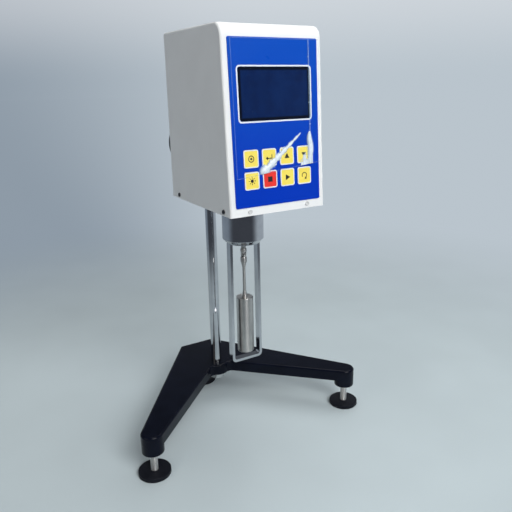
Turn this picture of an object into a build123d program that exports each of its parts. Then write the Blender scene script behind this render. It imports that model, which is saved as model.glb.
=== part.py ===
from build123d import *
import os
from math import acos, atan2, cos, degrees, hypot, pi, radians, sin, sqrt, tan

# Rotational viscometer, millimetres. +Z is up, +Y points from the operator to the column,
# and the origin is on the bench under the middle of the footprint.

# ---- layout ----
spindle_y = -34.2          # measuring axis
reach = 79.1               # measuring axis to column axis
head_bottom = 274.8        # lower edge of the head above the bench
running = 0.05             # radial clearance of a shaft or slide in its bore
seat = 0.15                # gap round a piece that drops into an opening

# ---- base ----
base_top = 50.0
leg_thickness = 13.5
boss_radius = 11.9
boss_bottom = 27.0
boss_x = 127.0
boss_ahead = 24.2          # front bosses ahead of the measuring axis
rear_edge_behind = 140.9   # rear edge of the casting behind the measuring axis
rear_edge_half = 23.2
hub_radius = 15.0
crotch_behind = 80.5       # where the inner edges of the legs would meet
rear_foot_inset = 16.0     # rear foot axis ahead of the rear edge
casting_edge = 2.4
crotch_fillet = 8.0
rear_corner = 2.0
boss_edge = 1.0

# ---- levelling feet ----
pad_radius = 17.25
pad_thickness = 4.8
foot_screw_radius = 3.9
foot_screw_top = 44.5
foot_hole_top = 47.6
foot_socket_depth = 3.2

# ---- column and rack ----
column_radius = 6.4
column_top = 430.0
spigot_radius = 5.0
washer_radius = 10.5
washer_thickness = 1.5
nut_across_flats = 17.0
nut_height = 6.5
stud_past_nut = 1.0
cap_radius = 8.0
cap_height = 7.0
rack_module = 1.0
rack_teeth_below = 28
rack_teeth_above = 20
rack_tip = 6.0             # rack tooth tips from the column axis
pressure_angle = 20.0
backlash = 0.12

# ---- lift carriage ----
pinion_teeth = 18
pinion_width = 11.0
pinion_above = 52.2        # pinion axis above the head's lower edge
pinion_shaft_radius = 4.0
sleeve_radius = 13.5
sleeve_half = 36.0
flange_half = 24.0
flange_thickness = 7.0
gearbox_radius = 13.5
gearbox_half = 17.0
gearbox_bore = 11.0
bush_radius = 6.0
bush_length = 7.0
bush_flange = 2.5
knob_radius = 15.0
knob_length = 15.0
knob_face_x = -35.8
lock_below = 20.0          # locking screw below the pinion axis
lock_boss_radius = 7.0
lock_boss_end = 25.0
lock_stud_radius = 3.0
lock_pad_length = 3.0
lock_knob_radius = 12.0
lock_knob_length = 16.0
carriage_screw_radius = 2.5
carriage_screw_x = 18.5
carriage_screw_inset = 5.5

# ---- head ----
head_width = 105.0
head_height = 167.2
head_rear_gap = 15.9       # column axis to the rear face of the head
head_depth = 135.7         # depth along the bottom edge
face_setback = 10.4        # how far the front face leans back at the top
cover_wall = 1.6
brow_radius = 12.0
rear_brow_radius = 3.0
cover_edge = 2.2
chassis_thickness = 7.0
chassis_recess = 0.5
back_plate_thickness = 6.0
back_plate_half = 40.0
back_plate_height = 88.0
cover_screw_radius = 1.5
cover_screw_head = 2.1
side_screw_front = 13.4    # behind the head's front
side_screw_rear = 19.7     # ahead of its rear
front_screw_x = 32.0

# ---- front panel: x across, s up the leaning face, n out of it ----
panel_margin = 5.8         # side of the head to the panel
panel_low = 8.0
panel_high = 155.4
panel_thickness = 0.8
panel_corner = 1.5
window_margin = 8.7        # panel's edge to the window
window_low = 84.8
window_high = 130.8
window_thickness = 0.7
window_corner = 2.5
window_rebate = 3.0        # how far the cover supports the window's rim
keypad_margin = 8.1        # panel's edge to the keys
key_gap = 4.0
key_height = 16.0
key_row_high = 51.8
key_row_low = 32.0
key_corner = 2.0
key_proud = 0.5            # keycap above the panel
key_travel = 0.4
key_flange = 1.0
key_flange_thickness = 1.2
key_play = 0.1             # flange to the cover, and key stem to its switch
key_stem_radius = 1.6
key_stem_length = 1.0
board_thickness = 1.6
keypad_depth = 7.0         # face to keypad board
keypad_post_rise = 22.0    # keypad posts above and below the board's middle
display_depth = 10.0       # face to display board
display_post_rise = 31.0
display_board_height = 69.0
display_frame_margin = 6.0
display_glass_depth = 4.5
display_glass_thickness = 1.6
post_inset = 4.0           # posts in from the panel's edge
post_radius = 2.6
post_hole_radius = 1.1

# ---- spirit level ----
level_behind_brow = 22.0
level_radius = 8.2
level_depth = 9.0
level_rim = 10.0
level_rim_height = 1.2
vial_radius = 6.4
vial_height = 6.0

# ---- rear connectors ----
inlet_x = -24.0
inlet_below = 38.0         # head's top to the middle of the connectors
inlet_width = 28.0
inlet_height = 20.5
inlet_depth = 21.0
inlet_flange_width = 48.0
inlet_flange_height = 23.0
inlet_flange = 2.5
inlet_screw_x = 20.0
inlet_screw_radius = 1.5
inlet_screw_length = 8.0
inlet_screw_head = 2.6
inlet_screw_head_height = 1.6
inlet_slant = 5.0
plug_width = 24.4
plug_height = 16.8
plug_depth = 16.5
plug_slant = 4.2
pin_thickness = 2.0
pin_height = 4.0
pin_length = 14.0
pin_spread = 7.0
pin_offset = 2.0
switch_x = 16.0
switch_width = 13.0
switch_height = 19.4
switch_depth = 14.0
switch_bezel = 1.8
rocker_tilt = 7.0
rocker_pivot = 0.2         # rocker axis above the rear wall
serial_x = 36.0
serial_shell_width = 16.9
serial_shell_height = 8.3
serial_flange_width = 30.8
serial_flange_height = 12.5
serial_hole_pitch = 25.0

# ---- electronics ----
side_gap = 3.9             # side wall to the transformer
transformer_width = 36.0
transformer_height = 32.0
transformer_depth = 26.0
transformer_core = 14.0
winding_inset = 6.0
wall_board_gap = 6.0       # side wall to the control board
wall_board_length = 84.0
wall_board_height = 80.0
wall_board_lift = 12.0     # chassis plate to the control board
wall_board_ahead = 30.0    # its front edge ahead of the measuring axis
chip_size = 24.0
chip_thickness = 3.0
header_length = 40.0
header_width = 6.0
header_height = 9.0
capacitor_radius = 5.0
capacitor_length = 12.0
keypad_board_height = 50.0
keypad_switch = 6.0
board_hole_radius = 1.3

# ---- measuring mechanism, heights above the chassis plate ----
pillar_offset = 24.0
pillar_radius = 3.5
bridge_above = 54.0
bridge_thickness = 4.0
bridge_half = 29.0
motor_width = 42.0
motor_height = 34.0
motor_shaft_radius = 2.5
motor_pilot_radius = 11.0
drive_disc_above = 42.0
drive_disc_radius = 22.0
spindle_disc_above = 18.0
spindle_disc_radius = 20.0
disc_thickness = 1.0
hairspring_above = 32.0
hairspring_inner = 5.0
hairspring_pitch = 1.5
hairspring_turns = 6
hairspring_strip = 0.35
hairspring_height = 2.0
stud_radius = 1.2
spindle_radius = 2.0
spindle_top_above = 39.0
pivot_radius = 0.75
sensor_half = 5.0          # half the width and height of a fork sensor
sensor_overlap = 4.0       # how far it reaches over a disc
sensor_slot = 3.2
sensor_post_gap = 6.0      # driving disc to the sensors' post
sensor_post_depth = 3.0
housing_flange_radius = 13.0
housing_flange = 4.0
housing_radius = 9.0
housing_drop = 34.0        # tube below the chassis plate
bearing_radius = 5.0
bearing_height = 4.0

# ---- cup and guard ----
cup_radius = 22.35
cup_wall = 2.0
cup_drop = 42.3            # chassis plate to the cup's lower edge
cup_lip = 3.2              # height of the tapered lip
mouth_radius = 17.2
mouth_thickness = 9.0
ring_drop = 4.8            # guard ring below the cup's lower edge
ring_radius = 18.25
ring_wall = 3.0
ring_thread = 10.3         # ring's lower face to the top of its thread
guard_below_rotor = 8.0    # inside of the guard below the rotor
guard_half_low = 19.2
guard_bar = 3.0
guard_width = 8.0
guard_corner = 5.0

# ---- universal joint and rotor ----
joint_drop = 27.3          # joint centre below the bearing housing
upper_yoke_radius = 3.5
lower_yoke_radius = 3.6
lower_yoke_body = 9.0      # joint centre to the start of the lower fork's taper
fork_gap = 2.05            # half the gap between the ears of a fork
fork_depth = 2.7           # joint centre to the floor of a fork's slot
ear_half = 1.7
cross_half = 1.6
cross_pin_radius = 0.75
pin_recess = 0.1           # pin ends below the outside of the ears
upper_yoke_body = 7.0      # joint centre to the top of the upper fork's body
upper_yoke_length = 12.0   # joint centre to the top of its neck
upper_neck_radius = 2.7
ear_inset = 0.35           # ears in from the round body of their fork
fork_edge = 1.2
lower_cone = 5.0           # height of the taper under the lower fork
stem_radius = 1.65
stem_length = 35.3
stem_flare = 8.3           # height of the flare above the rotor
flare_radius = 3.1
stem_thread = 4.0          # stem inside the lower fork
shaft_in_yoke = 5.0
rotor_radius = 9.42
rotor_length = 65.1
rotor_edge = 0.4

# ---- values that follow from the ones above ----
column_y = spindle_y + reach
chassis_bottom = head_bottom + chassis_recess
chassis_top = chassis_bottom + chassis_thickness
cup_bottom = chassis_bottom - cup_drop
lip_bottom = cup_bottom - cup_lip
ring_bottom = cup_bottom - ring_drop
housing_bottom = chassis_bottom - housing_drop
joint_z = housing_bottom - joint_drop
upper_yoke_top = joint_z + upper_yoke_length
stem_top = joint_z - lower_yoke_body - lower_cone
rotor_top = stem_top - stem_length
rotor_bottom = rotor_top - rotor_length
guard_bottom = rotor_bottom - guard_below_rotor - guard_bar
head_rear = column_y - head_rear_gap
head_front = head_rear - head_depth
head_top = head_bottom + head_height
face_lean = degrees(atan2(face_setback, head_height))
face_length = hypot(face_setback, head_height)
front_screw_s = (chassis_recess + chassis_thickness / 2) / cos(radians(face_lean))
inside_rear = head_rear - cover_wall
leg_bottom = base_top - leg_thickness
pinion_radius = rack_module * pinion_teeth / 2
pinion_z = head_bottom + pinion_above
sleeve_bottom = pinion_z - sleeve_half
sleeve_top = pinion_z + sleeve_half
lock_z = pinion_z - lock_below
inlet_z = head_top - inlet_below
pinion_y = column_y + rack_tip - rack_module + pinion_radius
level_y = head_front + face_setback + brow_radius + level_behind_brow
panel_width = head_width - 2 * panel_margin
window_width = panel_width - 2 * window_margin
key_pitch = (panel_width - 2 * keypad_margin) / 4
key_width = key_pitch - key_gap
key_columns = [(i - 1.5) * key_pitch for i in range(4)]
face = Location(Plane(origin=(0, head_front, head_bottom), x_dir=(1, 0, 0),
                      z_dir=(0, -cos(radians(face_lean)), sin(radians(face_lean)))))
rear_wall = Location(Plane(origin=(0, head_rear, 0), x_dir=(-1, 0, 0), z_dir=(0, 1, 0)))


# ---- small helpers ----
def rod(radius, low, high, x=0.0, y=0.0):
    """Upright round bar between two heights."""
    return Pos(x, y, (low + high) / 2) * Cylinder(radius, high - low)


def rod_x(radius, left, right, y, z):
    """Round bar along X."""
    return Pos((left + right) / 2, y, z) * Rot(0, 90, 0) * Cylinder(radius, right - left)


def rod_y(radius, front, back, x, z):
    """Round bar along Y."""
    return Pos(x, (front + back) / 2, z) * Rot(90, 0, 0) * Cylinder(radius, back - front)


def block(x0, x1, y0, y1, z0, z1):
    """Rectangular block between two corners."""
    return Pos((x0 + x1) / 2, (y0 + y1) / 2, (z0 + z1) / 2) * Box(x1 - x0, y1 - y0, z1 - z0)


def tube(outer, inner, low, high, x=0.0, y=0.0):
    """Upright tube."""
    return rod(outer, low, high, x, y) - rod(inner, low - 1, high + 1, x, y)


def plate(width, height, thickness, corner):
    """Rounded rectangular plate centred on its own axes, from 0 upwards."""
    return extrude(RectangleRounded(width, height, corner), thickness)


def rim(shape, radius, height):
    """Circular edges of a turned piece at one radius and height."""
    return shape.edges().filter_by(GeomType.CIRCLE).filter_by(
        lambda e: abs(e.center().Z - height) < 0.01 and abs(e.radius - radius) < 0.01)


def turned(points, x=0.0, y=0.0):
    """Body of revolution about an upright axis from its (radius, height) outline."""
    outline = make_face(Plane.XZ * Polyline(*points, close=True))
    return Pos(x, y, 0) * revolve(outline, Axis.Z)


def hexagon(across_flats, low, high, x=0.0, y=0.0):
    """Upright hexagonal prism."""
    outline = RegularPolygon(across_flats / 2, 6, major_radius=False)
    return Pos(x, y, low) * extrude(outline, high - low)


def group(*shapes):
    """Several separate solids kept together as one node."""
    solids = []
    for shape in shapes:
        solids += shape.solids()
    return Compound(children=solids)


# ---- base ----
foot_places = {
    "left": (-boss_x, spindle_y - boss_ahead),
    "right": (boss_x, spindle_y - boss_ahead),
    "rear": (0.0, spindle_y + rear_edge_behind - rear_foot_inset),
}


def tangent_point(start, centre, radius, side):
    """Point where the line from start touches the circle, on the chosen side."""
    dx, dy = centre[0] - start[0], centre[1] - start[1]
    distance = hypot(dx, dy)
    along = atan2(dy, dx) + side * acos(sqrt(distance ** 2 - radius ** 2) / distance)
    reach_to = sqrt(distance ** 2 - radius ** 2)
    return start[0] + reach_to * cos(along), start[1] + reach_to * sin(along)


def hub_crossing(crotch, toward):
    """Where the line from the crotch towards a point leaves the column hub."""
    dx, dy = toward[0] - crotch[0], toward[1] - crotch[1]
    length = hypot(dx, dy)
    dx, dy = dx / length, dy / length
    offset = crotch[1] - column_y
    along = -dy * offset + sqrt((dy * offset) ** 2 - offset ** 2 + hub_radius ** 2)
    return crotch[0] + along * dx, crotch[1] + along * dy


def base_plan():
    """Outline of the casting: straight rear edge, two tapering legs with round ends, round hub."""
    rear_y = spindle_y + rear_edge_behind
    crotch = (0.0, spindle_y + crotch_behind)
    centre = foot_places["right"]
    corner = (rear_edge_half, rear_y)
    outer = tangent_point(corner, centre, boss_radius, 1)
    inner = tangent_point(crotch, centre, boss_radius, -1)
    notch = hub_crossing(crotch, inner)
    tip_angle = radians(-45)
    tip = (centre[0] + boss_radius * cos(tip_angle), centre[1] + boss_radius * sin(tip_angle))

    def left(point):
        return -point[0], point[1]

    edges = [Line(left(corner), corner), Line(corner, outer), ThreePointArc(outer, tip, inner),
             Line(inner, notch), ThreePointArc(notch, (0, column_y - hub_radius), left(notch)),
             Line(left(notch), left(inner)),
             ThreePointArc(left(inner), left(tip), left(outer)), Line(left(outer), left(corner))]
    plan = make_face(edges)
    notches = [v for v in plan.vertices() if abs(hypot(v.X, v.Y - column_y) - hub_radius) < 0.01]
    plan = fillet(notches, crotch_fillet)
    return fillet(plan.vertices().group_by(Axis.Y)[-1], rear_corner)


def base_casting():
    """V-shaped base: two legs, column hub, and a boss for each foot screw."""
    body = Pos(0, 0, leg_bottom) * extrude(base_plan(), leg_thickness)
    body = fillet(body.faces().sort_by(Axis.Z)[-1].outer_wire().edges(), casting_edge)
    for x, y in foot_places.values():
        boss = rod(boss_radius, boss_bottom, leg_bottom + 1, x, y)
        body += fillet(boss.edges().filter_by(GeomType.CIRCLE).sort_by(Axis.Z)[0], boss_edge)
    for x, y in foot_places.values():
        body -= rod(foot_screw_radius + running, boss_bottom - 1, foot_hole_top, x, y)
    return body - rod(spigot_radius + running, leg_bottom - 1, base_top + 1, 0, column_y)


def foot_pad(x, y):
    """Round pad with a socket for the end of its screw."""
    pad = rod(pad_radius, 0, pad_thickness, x, y)
    pad = fillet(pad.edges().filter_by(GeomType.CIRCLE), 0.8)
    socket = rod(foot_screw_radius + running, pad_thickness - foot_socket_depth, pad_thickness + 1, x, y)
    return pad - socket


def foot_screw(x, y):
    """Levelling screw, chamfered at both ends."""
    low = pad_thickness - foot_socket_depth + running
    return chamfer(rod(foot_screw_radius, low, foot_screw_top, x, y).edges(), 0.5)


# ---- column ----
def column():
    """Round column with a rack cut in its rear side and a spigot for the base."""
    stud_end = leg_bottom - washer_thickness - nut_height - stud_past_nut
    bar = rod(column_radius, base_top, column_top, 0, column_y)
    bar = chamfer(bar.edges().filter_by(GeomType.CIRCLE).sort_by(Axis.Z)[-1], 0.8)
    pitch = pi * rack_module
    low = pinion_z - (rack_teeth_below + 0.5) * pitch
    high = pinion_z + (rack_teeth_above + 0.5) * pitch
    bar -= block(-column_radius, column_radius, column_y + rack_tip, column_y + column_radius + 1, low, high)
    slope = tan(radians(pressure_angle))
    half = pitch / 4 + backlash / 2
    tip, root = rack_tip + 0.5, rack_tip - 2.25 * rack_module
    wide = half + (tip - rack_tip + rack_module) * slope
    narrow = half - 1.25 * rack_module * slope
    profile = Polyline((tip, wide), (root, narrow), (root, -narrow), (tip, -wide), close=True)
    slot = make_face(Plane.YZ * profile)
    cutter = extrude(slot, column_radius, both=True)
    slots = [Pos(0, column_y, pinion_z + i * pitch) * cutter
             for i in range(-rack_teeth_below, rack_teeth_above + 1)]
    bar = bar.cut(*slots)
    return bar + rod(spigot_radius, stud_end, base_top, 0, column_y)


def column_nut():
    """Washer and nut that hold the column to the base from below."""
    washer_low = leg_bottom - washer_thickness
    washer = tube(washer_radius, spigot_radius + running, washer_low, leg_bottom, 0, column_y)
    nut = hexagon(nut_across_flats, washer_low - nut_height, washer_low, 0, column_y)
    nut = nut & turned([(0, washer_low - nut_height), (nut_across_flats / 2, washer_low - nut_height),
                        (nut_across_flats / 2 + 2, washer_low - nut_height + 1.2),
                        (nut_across_flats / 2 + 2, washer_low), (0, washer_low)], 0, column_y)
    nut -= rod(spigot_radius, washer_low - nut_height - 1, washer_low + 1, 0, column_y)
    return group(washer, nut)


def column_cap():
    """Cap that stops the carriage leaving the top of the column."""
    low = column_top
    cap = rod(cap_radius, low, low + cap_height, 0, column_y)
    return fillet(cap.edges().filter_by(GeomType.CIRCLE), 1.2)


# ---- lift carriage ----
def lift_carriage():
    """Sleeve on the column with a flange for the head, a pinion housing and a lock boss."""
    body = rod(sleeve_radius, sleeve_bottom, sleeve_top, 0, column_y)
    body += block(-flange_half, flange_half, head_rear, head_rear + flange_thickness,
                  sleeve_bottom, sleeve_top)
    body += rod_x(gearbox_radius, -gearbox_half, gearbox_half, pinion_y, pinion_z)
    body += block(-sleeve_radius, sleeve_radius, column_y, pinion_y, pinion_z - gearbox_radius,
                  pinion_z + gearbox_radius)
    body += rod_x(lock_boss_radius, 0, lock_boss_end, column_y, lock_z)
    corners = body.edges().filter_by(Axis.Y).group_by(Axis.X)
    body = fillet(corners[0] + corners[-1], 4)
    body -= rod(column_radius + running, sleeve_bottom - 1, sleeve_top + 1, 0, column_y)
    body -= rod_x(gearbox_bore, -gearbox_half - 1, pinion_width / 2 + 0.5, pinion_y, pinion_z)
    body -= rod_x(bush_radius, 0, gearbox_half + 1, pinion_y, pinion_z)
    body -= rod_x(lock_stud_radius + running, 0, lock_boss_end + 1, column_y, lock_z)
    for x, z in carriage_screw_places():
        body -= rod_y(carriage_screw_radius + 0.25, head_rear - 1, head_rear + flange_thickness + 1, x, z)
    return body


def carriage_screw_places():
    return [(x, z) for x in (-carriage_screw_x, carriage_screw_x)
            for z in (sleeve_bottom + carriage_screw_inset, sleeve_top - carriage_screw_inset)]


def socket_screw(radius, length, head_radius, head_height):
    """Socket-head screw along +Z: the head stands above 0 and the shank goes below."""
    screw = rod(head_radius, 0, head_height) + rod(radius, -length, 0)
    socket = extrude(RegularPolygon(radius * 0.8, 6, major_radius=False), head_height)
    return screw - Pos(0, 0, head_height / 2) * socket


def carriage_screws():
    """Four socket screws through the flange and the cover into the back plate."""
    shank = flange_thickness + cover_wall + back_plate_thickness - 1
    screw = Rot(-90, 0, 0) * socket_screw(carriage_screw_radius, shank, 4.2, 5.0)
    return group(*[Pos(x, head_rear + flange_thickness, z) * screw for x, z in carriage_screw_places()])


def involute(angle):
    return tan(angle) - angle


def pinion_outline():
    """Involute tooth outline of the pinion, one tooth centred on the column side."""
    base_radius = pinion_radius * cos(radians(pressure_angle))
    tip_radius = pinion_radius + rack_module
    root_radius = pinion_radius - 1.25 * rack_module
    half_tooth = (pi / 2 - backlash / 2 / rack_module) / pinion_teeth
    start = max(base_radius, root_radius)
    radii = [start + (tip_radius - start) * i / 4 for i in range(5)]
    flank = []
    for radius in radii:
        spread = involute(radians(pressure_angle)) - involute(acos(min(1.0, base_radius / radius)))
        flank.append((radius, half_tooth + spread))
    flank.insert(0, (root_radius, flank[0][1]))
    points = []
    for tooth in range(pinion_teeth):
        middle = pi + 2 * pi * tooth / pinion_teeth
        for radius, offset in flank:
            points.append((radius * cos(middle - offset), radius * sin(middle - offset)))
        for radius, offset in reversed(flank):
            points.append((radius * cos(middle + offset), radius * sin(middle + offset)))
    return points


def pinion_shaft():
    """Shaft and pinion in one piece, along X."""
    right = gearbox_half + 1.0
    left = knob_face_x + 4.0
    outline = make_face(Plane.YZ * Polyline(*pinion_outline(), close=True))
    teeth = extrude(outline, pinion_width / 2, both=True)
    shaft = rod_x(pinion_shaft_radius, left, right, 0, 0)
    return Pos(0, pinion_y, pinion_z) * (teeth + shaft)


def pinion_bushes():
    """Two bronze bushes for the pinion shaft; the left one closes the pinion housing."""
    plain = rod_x(bush_radius, gearbox_half - bush_length, gearbox_half, pinion_y, pinion_z)
    outer = -gearbox_half - bush_flange
    flanged = rod_x(gearbox_radius, outer, -gearbox_half, pinion_y, pinion_z)
    flanged += rod_x(gearbox_bore - running, -gearbox_half, outer + bush_length, pinion_y, pinion_z)
    hole = rod_x(pinion_shaft_radius + running, outer - 1, gearbox_half + 1, pinion_y, pinion_z)
    return group(plain - hole, flanged - hole)


def fluted(radius, length, flutes, flute_radius, edge):
    """Knob grip along +Z with rounded flutes round its rim."""
    grip = Cylinder(radius, length, align=(Align.CENTER, Align.CENTER, Align.MIN))
    grip = fillet(grip.edges().filter_by(GeomType.CIRCLE), edge)
    cutter = Pos(radius + flute_radius * 0.55, 0, -1) * Cylinder(
        flute_radius, length + 2, align=(Align.CENTER, Align.CENTER, Align.MIN))
    return grip.cut(*[Rot(0, 0, 360 * i / flutes) * cutter for i in range(flutes)])


def lift_knob():
    """Fluted knob on the left end of the pinion shaft."""
    knob = fluted(knob_radius, knob_length, 12, 2.2, 1.2)
    hub_gap = -gearbox_half - bush_flange - 0.4 - (knob_face_x + knob_length)
    knob += Pos(0, 0, -hub_gap) * Cylinder(7.0, hub_gap + 1, align=(Align.CENTER, Align.CENTER, Align.MIN))
    knob -= Pos(0, 0, -hub_gap - 1) * Cylinder(
        pinion_shaft_radius, hub_gap + 1 + knob_length - 4.0, align=(Align.CENTER, Align.CENTER, Align.MIN))
    return Pos(knob_face_x + knob_length, pinion_y, pinion_z) * Rot(0, -90, 0) * knob


def lock_knob():
    """Clamping knob moulded on its threaded stud."""
    inner = column_radius + 0.1 + lock_pad_length
    start = lock_boss_end + 1.5
    knob = Pos(start, 0, 0) * Rot(0, 90, 0) * fluted(lock_knob_radius, lock_knob_length, 6, 3.4, 1.0)
    return Pos(0, column_y, lock_z) * (knob + rod_x(lock_stud_radius, inner, start + 4, 0, 0))


def lock_pad():
    """Brass pad between the stud and the column, hollowed to the column's curve."""
    pad = rod_x(lock_stud_radius, 0, column_radius + 0.1 + lock_pad_length, column_y, lock_z)
    return pad - rod(column_radius + 0.1, lock_z - 10, lock_z + 10, 0, column_y)


# ---- head shell and frame ----
def head_form(inset, low):
    """Head outline swept across its width, inset all round and reaching down to low."""
    lean = tan(radians(face_lean))
    side_inset = inset / cos(radians(face_lean))
    front_low = head_front + side_inset + (low - head_bottom) * lean
    front_high = head_front + side_inset + (head_height - inset) * lean
    top, back = head_top - inset, head_rear - inset
    side = Polyline((front_low, low), (front_high, top), (back, top), (back, low), close=True)
    outline = make_face(Plane.YZ * side)
    half = head_width / 2 - inset
    body = extrude(outline, half, both=True)
    across = body.edges().filter_by(Axis.X).group_by(Axis.Z)[-1].sort_by(Axis.Y)
    body = fillet(across[0], brow_radius - inset)
    across = body.edges().filter_by(Axis.X).group_by(Axis.Z)[-1].sort_by(Axis.Y)
    body = fillet(across[-1], rear_brow_radius - inset)
    rims = body.faces().filter_by(Axis.X)
    edges = []
    for rim in rims:
        edges += [e for e in rim.outer_wire().edges() if e.bounding_box().max.Z > low + 0.01]
    return fillet(edges, cover_edge - inset)


def key_places():
    return [(x, s) for s in (key_row_high, key_row_low) for x in key_columns]


def face_post_places():
    """Board posts behind the front wall: (x, s, depth of the board's front)."""
    half = panel_width / 2 - post_inset
    boards = [((key_row_high + key_row_low) / 2, keypad_post_rise, keypad_depth),
              ((window_low + window_high) / 2, display_post_rise, display_depth)]
    return [(x, middle + side * rise, depth)
            for middle, rise, depth in boards for x in (-half, half) for side in (-1, 1)]


def cover_screw_places():
    """Start point and direction of each cover screw."""
    z = chassis_bottom + chassis_thickness / 2
    side = head_width / 2
    places = []
    for y in (head_front + side_screw_front, head_rear - side_screw_rear):
        places += [((-side, y, z), (-1, 0, 0)), ((side, y, z), (1, 0, 0))]
    return places


def head_cover():
    """Open-bottomed cover with every opening that the fitted pieces need."""
    cover = head_form(0, head_bottom) - head_form(cover_wall, head_bottom - 5)
    window_middle = (window_low + window_high) / 2
    opening = plate(window_width - 2 * window_rebate, window_high - window_low - 2 * window_rebate, 8, 2)
    cover -= face * Pos(0, window_middle, -4) * opening
    key_opening = plate(key_width + 2 * seat, key_height + 2 * seat, 8, key_corner + seat)
    for x, s in key_places():
        cover -= face * Pos(x, s, -4) * key_opening
    for x, s, depth in face_post_places():
        post = extrude(Circle(post_radius), depth - cover_wall / 2)
        post -= Pos(0, 0, -1) * extrude(Circle(post_hole_radius), depth - cover_wall)
        cover += face * Pos(x, s, -depth) * post
    for x, z in carriage_screw_places():
        cover -= rod_y(carriage_screw_radius + 0.25, head_rear - 3, head_rear + 1, x, z)
    for (x, y, z), (direction, _, _) in cover_screw_places():
        cover -= rod_x(cover_screw_radius + 0.2, x - 3, x + 3, y, z)
    for x in (-front_screw_x, front_screw_x):
        cover -= face * Pos(x, front_screw_s, 0) * Cylinder(cover_screw_radius + 0.2, 6)
    cover -= rod(level_radius + seat, head_top - 4, head_top + 1, 0, level_y)
    inlet = extrude(plug_outline(inlet_width + 2 * seat, inlet_height + 2 * seat, inlet_slant), 5)
    cover -= rear_wall * Pos(-inlet_x, inlet_z, -4) * inlet
    switch_opening = plate(switch_width + 2 * seat, switch_height + 2 * seat, 5, 0.5)
    serial_opening = plate(serial_shell_height + 2, serial_shell_width + 2, 5, 2)
    cover -= rear_wall * Pos(-switch_x, inlet_z, -4) * switch_opening
    cover -= rear_wall * Pos(-serial_x, inlet_z, -4) * serial_opening
    for x in (-inlet_screw_x, inlet_screw_x):
        cover -= rod_y(inlet_screw_radius + 0.2, head_rear - 3, head_rear + 1, inlet_x + x, inlet_z)
    return cover


def chassis_plate():
    """Bottom plate that carries the mechanism, the cup and the cover."""
    half = head_width / 2 - cover_wall - seat
    lean = radians(face_lean)
    front = head_front + (chassis_top - head_bottom) * tan(lean) + cover_wall / cos(lean) + seat
    body = block(-half, half, front, inside_rear - seat, chassis_bottom, chassis_top)
    body = chamfer(body.edges().filter_by(Axis.Z), 1.0)
    body -= rod(housing_radius + running, chassis_bottom - 1, chassis_top + 1, 0, spindle_y)
    for (x, y, z), (direction, _, _) in cover_screw_places():
        body -= rod_x(cover_screw_radius, min(x, x - 12 * direction), max(x, x - 12 * direction), y, z)
    for x in (-front_screw_x, front_screw_x):
        body -= face * Pos(x, front_screw_s, -5) * Cylinder(cover_screw_radius, 14)
    return body


def back_plate():
    """Upright plate inside the rear wall, tapped for the carriage screws."""
    body = block(-back_plate_half, back_plate_half, inside_rear - back_plate_thickness, inside_rear,
                 chassis_top, chassis_top + back_plate_height)
    body = fillet(body.edges().filter_by(Axis.Y).group_by(Axis.Z)[-1], 6)
    for x, z in carriage_screw_places():
        body -= rod_y(carriage_screw_radius, inside_rear - back_plate_thickness - 1, inside_rear + 1, x, z)
    return body


def cover_screws():
    """Four side and two front screws that hold the cover to the chassis plate."""
    screw = socket_screw(cover_screw_radius, 8.0, cover_screw_head, 1.0)
    screws = []
    for (x, y, z), (direction, _, _) in cover_screw_places():
        screws.append(Pos(x, y, z) * Rot(0, 90 * direction, 0) * screw)
    for x in (-front_screw_x, front_screw_x):
        screws.append(face * Pos(x, front_screw_s, 0) * screw)
    return group(*screws)


# ---- front panel ----
def front_panel():
    """Blue keypad panel with openings for the window and the eight keys."""
    middle = (panel_low + panel_high) / 2
    height = panel_high - panel_low
    body = face * Pos(0, middle, 0) * plate(panel_width, height, panel_thickness, panel_corner)
    window_middle = (window_low + window_high) / 2
    opening = plate(window_width + 2 * seat, window_high - window_low + 2 * seat, 4, window_corner + seat)
    body -= face * Pos(0, window_middle, -1) * opening
    key_opening = plate(key_width + 2 * seat, key_height + 2 * seat, 4, key_corner + seat)
    for x, s in key_places():
        body -= face * Pos(x, s, -1) * key_opening
    return body


def display_window():
    middle = (window_low + window_high) / 2
    height = window_high - window_low
    return face * Pos(0, middle, 0) * plate(window_width, height, window_thickness, window_corner)


def display_module():
    """Display: board, metal frame and glass as one bought-in module."""
    middle = (window_low + window_high) / 2
    frame_height = window_high - window_low + display_frame_margin
    board = Pos(0, middle, -display_depth - board_thickness) * plate(
        panel_width - 1, display_board_height, board_thickness, 1)
    for x, s, depth in face_post_places():
        board -= Pos(x, s, -display_depth) * Cylinder(board_hole_radius, 4 * board_thickness)
    frame = Pos(0, middle, -display_depth) * plate(
        window_width + 4, frame_height, display_depth - cover_wall - 0.4, 1.5)
    frame -= Pos(0, middle, -display_glass_depth) * plate(
        window_width - display_frame_margin, frame_height - 2 * display_frame_margin, 4, 0.5)
    return face * (board + frame)


def display_glass():
    middle = (window_low + window_high) / 2
    margin = display_frame_margin + 0.2
    return face * Pos(0, middle, -display_glass_depth) * plate(
        window_width - margin, window_high - window_low - margin, display_glass_thickness, 0.4)


def key(x, s):
    """Keycap that passes through the panel and is kept in by its flange."""
    top = panel_thickness + key_proud
    bottom = -cover_wall - key_play - key_flange_thickness
    cap = Pos(x, s, bottom) * plate(key_width, key_height, top - bottom, key_corner)
    cap = fillet(cap.faces().sort_by(Axis.Z)[-1].outer_wire().edges(), 0.35)
    cap += Pos(x, s, bottom) * plate(key_width + 2 * key_flange, key_height + 2 * key_flange,
                                     key_flange_thickness, key_corner)
    cap += Pos(x, s, bottom - key_stem_length) * extrude(Circle(key_stem_radius), key_stem_length)
    return face * cap


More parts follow.
